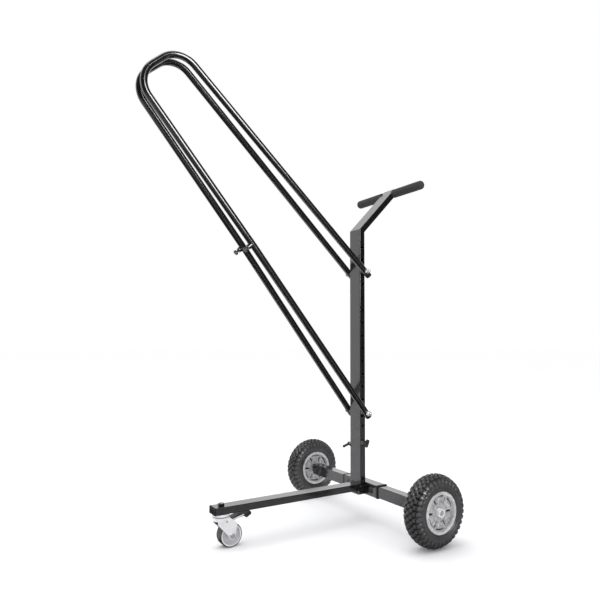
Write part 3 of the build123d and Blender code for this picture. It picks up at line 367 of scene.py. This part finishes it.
def point_value(tree, name):
    """A value that the surface carries at its points."""
    node = tree.nodes.new("ShaderNodeAttribute")
    node.attribute_name = name
    return node.outputs["Fac"]


rubber_fine = (900.0, 3.0)
rubber_scuff = (70.0, 4.0)
rubber = new_material("tyre rubber", {})
rubber_tree = rubber.node_tree
tyre_fine, tyre_scuff = two_noises(rubber, rubber_fine, rubber_scuff)
scuffs = value_map(rubber_tree, tyre_scuff, span=(0.3, 0.75), result=(0.55, 1.0))
# Painted shade in the grooves, times the rubber's scuffed and dusty tone.
scuffs_and_groove_shade = combine(rubber_tree, "MULTIPLY", point_value(rubber_tree, "relief"), scuffs)
set_grey(rubber, scuffs_and_groove_shade, low=0.008, high=0.078)
set_rough(rubber, tyre_scuff, low=0.26, high=0.4)
set_bump(rubber, tyre_fine, strength=0.2, distance=0.0002)

tyre_turn = np.linspace(0.0, 2 * math.pi, blocks_around * points_per_block, endpoint=False)[:, None]
for side, word in sides:
    low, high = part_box("tyre_" + word)
    centre = (low + high) / 2
    outer_r = (high.z - low.z) / 2 / mm
    half_width = (high.x - low.x) / 2 / mm
    x, r, along = tyre_section(half_width - skin_x, outer_r - skin_r)
    away = np.abs(along)[None, :]
    relief = tread_relief(tyre_turn, away, outer_r)
    taper = 1.0 - shoulder_loss * soft_step(away, *shoulder)
    cut = tread_depth * (1.0 - relief) * (1.0 - soft_step(away, *tread_fade)) * taper
    rings = ring_height * sum(np.exp(-((r - ring_r) / ring_width) ** 2) for ring_r in side_rings)
    normal = np.stack([np.gradient(r), -np.gradient(x)])
    normal_x, normal_r = normal / np.maximum(np.hypot(*normal), 1e-9)
    section_x = x + normal_x * (rings - cut)
    section_r = r + normal_r * (rings - cut)
    tyre_points = wheel_points(centre, side, section_x, section_r * np.cos(tyre_turn),
                               section_r * np.sin(tyre_turn))
    # Painted shade, dark in the grooves and lighter on the shoulders; the side wall has one darker tone.
    shade = np.where(away < wall_from, 1.0 - (1.0 - relief) * taper, wall_shade)
    tyre = closed_surface("knobbly_tyre_" + word, tyre_points, -side, relief=shade)
    tyre.data.materials.append(rubber)
    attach(tyre, "wheel_" + word)
    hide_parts("tyre_" + word)

# Rims: light grey moulded halves joined at the middle, with a smooth outer ring and a recessed face.
# Six rounded pads with sunk middles stand on the face, with a slot between each two and a groove outside
# each pad; the hub carries the bearings. Painted shade makes the slots dark and darkens the grooves, and a
# painted highlight lightens the outer ring.

# Rim sizes in millimetres. A band is a range of r, a share is half a feature's width in pitches, and edges
# are the (outer, inner) limits of the soft steps at its sides and ends; groove_dark is the strength of the
# painted shade in the grooves and ring_gain that of the painted highlight on the outer ring.
rim_pads = 6
rim_turn_points = 360
rim_bore_r = 16.05
rim_ring = (49.0, 57.0)
rim_face_points = 74
rim_ring_points = 12
rim_disc_x = 20.0
rim_skin = 0.05
pad_height = 3.4
pad_band = (24.0, 42.0)
pad_share = 0.37
pad_corner = 2.0
pad_edges = ((-0.6, 0.8), (-0.6, 0.9))
sunk_band = (28.0, 38.5)
sunk_share = 0.24
sunk_fraction = 0.7
sunk_edges = ((-0.5, 0.7), (-0.5, 0.8))
slot_band = (26.0, 41.0)
slot_half = 2.2
slot_depth = 9.0
slot_edges = ((-0.5, 0.5), (-0.6, 0.6))
groove_band = (43.2, 45.4)
groove_share = 0.3
groove_depth = 1.6
groove_dark = 0.8
groove_edges = ((-0.8, 0.8), (-0.5, 0.5))
ring_rise = (44.5, 49.0)
ring_light = (47.0, 49.0)
ring_gain = 0.12
lip_band = (55.0, 57.0)
lip_drop = 1.4
seat_x = np.array([26.6, 26.5, 9.0])
seat_r = np.array([56.8, 50.0, 50.0])


def face_feature(gap, r, band, edges):
    """Mask of one feature of the face, 1 inside; gap is the distance in from its sides."""
    side_edge, end_edge = edges
    return soft_step(gap, *side_edge) * soft_step(depth_inside(r, *band), *end_edge)


def rim_face(angle, r):
    """Height of the rim's face along the axle, a mask of painted shade in its slots and grooves less a
    painted highlight on the outer ring, and the rise to the outer ring.

    With a the way round from the middle of a pad and s the pitch, a pad is r|a| < pad_share s r, less at its
    corners by pad_corner (|r - middle| / half)^3; a slot is r (s/2 - |a|) < slot_half. Both end with their
    bands of r, as do the sunk middle and the groove.
    """
    pitch = 2 * math.pi / rim_pads
    place = np.abs(np.mod(angle / pitch + 0.5, 1.0) - 0.5) * pitch
    across = r * place
    middle = sum(pad_band) / 2
    half = pad_band[1] - middle
    lobe = pad_share * pitch * r - pad_corner * np.clip(np.abs(r - middle) / half, 0.0, 1.0) ** 3
    pad = face_feature(lobe - across, r, pad_band, pad_edges)
    sunk = face_feature(sunk_share * pitch * r - across, r, sunk_band, sunk_edges)
    slot = face_feature(slot_half - r * (0.5 * pitch - place), r, slot_band, slot_edges)
    groove = face_feature(groove_share * pitch * r - across, r, groove_band, groove_edges)
    cuts = slot_depth * slot + groove_depth * groove
    height = rim_disc_x + pad_height * (pad - sunk_fraction * sunk) - cuts
    # Painted shade darkens the slots fully and the grooves a little less; a painted highlight lightens the
    # outer ring.
    dark = np.maximum(slot, groove_dark * groove) - ring_gain * soft_step(r, *ring_light)
    return height, dark, soft_step(r, *ring_rise)


grey_fine = (650.0, 3.0)
grey_mottle = (130.0, 3.0)
rim_grey = new_material("grey rim", {})
rim_tree = rim_grey.node_tree
rim_fine, rim_mottle = two_noises(rim_grey, grey_fine, grey_mottle)
rim_clean = value_map(rim_tree, rim_mottle, span=(0.35, 0.65), result=(0.42, 0.74))
# Mottled grey less the painted shade in the slots and grooves, plus the painted highlight on the outer ring.
rim_tone = combine(rim_tree, "SUBTRACT", rim_clean, point_value(rim_tree, "pit"))
set_grey(rim_grey, rim_tone, low=0.012, high=0.74)
set_rough(rim_grey, rim_fine, low=0.3, high=0.45)
set_bump(rim_grey, rim_fine, strength=0.2, distance=0.0002)

rim_turn = np.linspace(0.0, 2 * math.pi, rim_turn_points, endpoint=False)[:, None]
ring_arc = np.sin(np.linspace(0.0, 1.0, rim_ring_points + 1)[1:] * math.pi / 2)
face_r = np.concatenate([np.linspace(rim_bore_r, rim_ring[0], rim_face_points),
                         rim_ring[0] + (rim_ring[1] - rim_ring[0]) * ring_arc])
height, pit, rise = rim_face(rim_turn, face_r[None, :])
half_r = np.concatenate([face_r, seat_r])
section_r = np.concatenate([half_r, half_r[::-1]])[None, :]
pit_half = np.concatenate([pit, np.zeros((rim_turn_points, len(seat_r)))], axis=1)
pit_mask = np.concatenate([pit_half, pit_half[:, ::-1]], axis=1)
for side, word in sides:
    low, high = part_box("rim_" + word)
    centre = (low + high) / 2
    half_width = (high.x - low.x) / 2 / mm
    lip = half_width - rim_skin - lip_drop * soft_step(face_r, *lip_band)[None, :]
    face_x = height + (lip - height) * rise
    half_x = np.concatenate([face_x, np.broadcast_to(seat_x, (rim_turn_points, len(seat_x)))], axis=1)
    section_x = np.concatenate([half_x, -half_x[:, ::-1]], axis=1)
    rim_points = wheel_points(centre, side, section_x, section_r * np.sin(rim_turn),
                              section_r * np.cos(rim_turn))
    rim = closed_surface("slotted_rim_" + word, rim_points, -side, pit=pit_mask)
    rim.data.materials.append(rim_grey)
    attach(rim, "wheel_" + word)
    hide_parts("rim_" + word)

# Stub axles, spacers, bearings, washers and nuts of the rear wheels are plain turned steel, the nuts bright.
# The nut and washer keep the wheel on the stub axle that is fixed in the tube's end plate.
dress(steel, "plain_steel", "stub_axle_left", "stub_axle_right", "wheel_spacers", "wheel_bearings_left",
      "wheel_bearings_right")
bright_steel = plated("bright steel", metallic=0.3, greys=(0.78, 0.92), roughs=(0.22, 0.34))
dress(bright_steel, "plain_steel", "wheel_washers", "wheel_nuts")

# Caster fork: bright zinc-plated pressed steel that swivels on a ball race under the leg.
# A stem through the leg holds it, and a bolt with a nut carries its wheel.
zinc = plated("bright zinc", metallic=0.25, greys=(0.78, 0.92), roughs=(0.24, 0.4))
dress(zinc, "zinc", "caster_race", "caster_fork")
dress(steel, "plain_steel", "caster_stem", "caster_balls", "brake_pin", "caster_axle_bolt", "caster_axle_nut")

# Caster wheel: a white moulded core on the fork's axle bolt; painted shade greys its web inside the outer
# ring.
# A thin dark rubber tread is moulded round it.


def vector_step(tree, operation, vector, other=(0.0, 0.0, 0.0)):
    """Adds a Vector Math node, with a constant as its second vector, and returns its outputs."""
    node = tree.nodes.new("ShaderNodeVectorMath")
    node.operation = operation
    node.inputs[1].default_value = other
    tree.links.new(vector, node.inputs[0])
    return node.outputs


core_ring = (0.0245, 0.0255)
core_low, core_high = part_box("caster_core")
core_white = new_material("white caster core", {})
core_tree = core_white.node_tree
core_fine, core_mottle = two_noises(core_white, grey_fine, grey_mottle)
core_from = vector_step(core_tree, "SUBTRACT", own_place(core_tree), (core_low + core_high) / 2)["Vector"]
core_flat = vector_step(core_tree, "MULTIPLY", core_from, (0.0, 1.0, 1.0))["Vector"]
core_r = vector_step(core_tree, "LENGTH", core_flat)["Value"]
# Painted shade: the web inside the outer ring is greyer than the ring.
core_web_shade = value_map(core_tree, core_r, span=core_ring, result=(0.62, 1.0))
core_soil = value_map(core_tree, core_mottle, span=(0.3, 0.7), result=(0.75, 1.0))
set_grey(core_white, combine(core_tree, "MULTIPLY", core_web_shade, core_soil), low=0.1, high=0.82)
set_rough(core_white, core_fine, low=0.28, high=0.4)
dress(core_white, "caster_white", "caster_core")
tread_rubber = new_material("caster rubber", {})
tread_fine, tread_scuff = two_noises(tread_rubber, rubber_fine, rubber_scuff)
set_grey(tread_rubber, tread_scuff, low=0.02, high=0.045)
set_rough(tread_rubber, tread_fine, low=0.35, high=0.5)
dress(tread_rubber, "caster_rubber", "caster_tyre")

# Brake pedal: a black moulded pedal that rocks on a pin in the fork.
# A bright strip runs along its flanks, sloping with it, and ends short of the foot plate's rear lip.
pedal_slope = 0.24
strip_drop = 0.0088
strip_back = 0.045
strip_height = 0.0032
strip_edge = 0.0006
strip_end = (0.024, 0.022)
pedal_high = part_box("brake_pedal")[1]
pedal_black = new_material("brake pedal", {})
pedal_tree = pedal_black.node_tree
pedal_grain, pedal_drift = two_noises(pedal_black, plastic_grain, plastic_drift)
pedal_axes = split_axes(pedal_tree, own_place(pedal_tree))
pedal_level = pedal_tree.nodes.new("ShaderNodeMath")
pedal_level.operation = "MULTIPLY_ADD"
pedal_level.inputs[1].default_value = -pedal_slope
pedal_tree.links.new(pedal_axes["Y"], pedal_level.inputs[0])
pedal_tree.links.new(pedal_axes["Z"], pedal_level.inputs[2])
strip_top = pedal_high.z - strip_drop - pedal_slope * (pedal_high.y - strip_back)
strip_foot = strip_top - strip_height
top_span = (strip_top - strip_edge, strip_top)
foot_span = (strip_foot - strip_edge, strip_foot)
end_span = [pedal_high.y - before for before in strip_end]
below_top = value_map(pedal_tree, pedal_level.outputs["Value"], top_span, result=(1.0, 0.0))
above_foot = value_map(pedal_tree, pedal_level.outputs["Value"], foot_span, result=(0.0, 1.0))
before_end = value_map(pedal_tree, pedal_axes["Y"], end_span, result=(1.0, 0.0))
strip_band = combine(pedal_tree, "MULTIPLY", below_top, before_end)
set_grey(pedal_black, combine(pedal_tree, "MULTIPLY", strip_band, above_foot), low=0.02, high=0.75)
set_rough(pedal_black, pedal_drift, low=0.3, high=0.42)
set_bump(pedal_black, pedal_grain, strength=0.2, distance=0.00015)
dress(pedal_black, "black_plastic", "brake_pedal")

# Studio: a pale floor in a white surround, with a soft lamp overhead and a tall strip lamp to the right.
# Only reflections see the rest: a dark half dome and a dark ground, which keep the gloss black where the
# photo is black, and a pale card on the left in place of the floor, which reflections don't see.
floor_half = 40.0
near_floor_half = 0.7
near_floor_x = -0.75
near_floor_z = -0.001
ground_half = 6.0
ground_z = -2.5
dome_r = 6.0
dome_sweep = (-105.0, 105.0)
dome_climb = (-30.0, 89.0)
dome_grid = (43, 35)
dome_foot = (-1.0, 0.1)


def stage_piece(name, points, faces, material):
    """Plain mesh in one material."""
    mesh = bpy.data.meshes.new(name)
    mesh.from_pydata(points, [], faces)
    mesh.materials.append(material)
    piece = bpy.data.objects.new(name, mesh)
    bpy.context.scene.collection.objects.link(piece)
    return piece


def flat_sheet(name, half, x, z, material):
    """Level square of the stage."""
    corners = [(x - half, -half, z), (x + half, -half, z), (x + half, half, z), (x - half, half, z)]
    return stage_piece(name, corners, [(0, 1, 2, 3)], material)


def only_reflected(piece):
    """Leaves a stage piece to glossy rays alone."""
    piece.visible_camera = False
    piece.visible_diffuse = False
    piece.visible_shadow = False


pale = new_material("pale floor", {"Roughness": 0.9, "Specular IOR Level": 0.0})
set_grey(pale, one_noise(pale.node_tree, scale=3.0, detail=2.0), low=0.985, high=1.0)
floor = flat_sheet("floor", floor_half, 0.0, 0.0, pale)
floor.visible_glossy = False
only_reflected(flat_sheet("near_floor", near_floor_half, near_floor_x, near_floor_z, pale))

black_card = new_material("black card", {"Roughness": 1.0, "Specular IOR Level": 0.0})
set_grey(black_card, one_noise(black_card.node_tree, scale=1.0, detail=1.0), low=0.02, high=0.03)
only_reflected(flat_sheet("dark_ground", ground_half, 0.0, ground_z, black_card))

dark_card = new_material("dark card", {"Roughness": 1.0, "Specular IOR Level": 0.0})
dark_tree = dark_card.node_tree
dome_z = split_axes(dark_tree, own_place(dark_tree))["Z"]
set_grey(dark_card, value_map(dark_tree, dome_z, dome_foot, result=(1.0, 0.0)), low=0.02, high=0.5)

# Half dome: x = R cos(e) cos(a), y = R cos(e) sin(a), z = R sin(e), open towards the left.
azimuth = np.radians(np.linspace(*dome_sweep, dome_grid[0]))[:, None]
elevation = np.radians(np.linspace(*dome_climb, dome_grid[1]))[None, :]
dome_points = dome_r * np.stack([np.cos(elevation) * np.cos(azimuth), np.cos(elevation) * np.sin(azimuth),
                                 np.sin(elevation) * np.ones_like(azimuth)], axis=-1)
index = np.arange(dome_grid[0] * dome_grid[1]).reshape(dome_grid)
dome_faces = np.stack([index[:-1, :-1], index[1:, :-1], index[1:, 1:], index[:-1, 1:]], axis=-1)
dome_points = dome_points.reshape(-1, 3).tolist()
dome_faces = dome_faces.reshape(-1, 4).tolist()
only_reflected(stage_piece("dark_dome", dome_points, dome_faces, dark_card))

world = bpy.data.worlds.new("studio")
bpy.context.scene.world = world
world.use_nodes = True
sky = world.node_tree.nodes["Background"]
sky.inputs["Color"].default_value = (1.0, 1.0, 1.0, 1.0)
sky.inputs["Strength"].default_value = 1.0


def soft_lamp(name, place, angles, width, height, power):
    """Rectangular area lamp that shines along its own -Z."""
    lamp = bpy.data.lights.new(name, "AREA")
    lamp.shape = "RECTANGLE"
    lamp.size = width
    lamp.size_y = height
    lamp.energy = power
    holder = bpy.data.objects.new(name, lamp)
    holder.location = place
    holder.rotation_euler = angles
    bpy.context.scene.collection.objects.link(holder)
    return holder


facing_down = (0.0, 0.0, 0.0)
facing_left = (0.0, math.pi / 2, 0.0)
soft_lamp("top lamp", place=(-0.4, -0.4, 3.6), angles=facing_down, width=2.6, height=2.6, power=40.0)
strip = soft_lamp("strip lamp", place=(3.0, -0.05, 1.75), angles=facing_left, width=1.7, height=1.2,
                  power=110.0)
strip.visible_diffuse = False

# Camera: where the photograph was taken from, as fitted to it, in metres and radians.
# Its place along Y is measured from the middle of the mast.
eye_x = 1.41499
eye_from_mast_y = -1.10361
eye_z = 0.566
eye_turn = 1.01333
eye_tilt = 0.07307
eye_roll = 0.00491
mast_low, mast_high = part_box("mast_tube")
camera = bpy.data.cameras.new("camera")
camera.lens = 32.742
camera.sensor_width = 36.0
eye = bpy.data.objects.new("camera", camera)
bpy.context.scene.collection.objects.link(eye)
eye_place = Matrix.Translation((eye_x, (mast_low.y + mast_high.y) / 2 + eye_from_mast_y, eye_z))
eye_aim = Matrix.Rotation(eye_turn, 4, "Z") @ Matrix.Rotation(math.pi / 2 + eye_tilt, 4, "X")
eye.matrix_world = eye_place @ eye_aim @ Matrix.Rotation(eye_roll, 4, "Z")
bpy.context.scene.camera = eye
bpy.context.scene.view_settings.view_transform = "Standard"
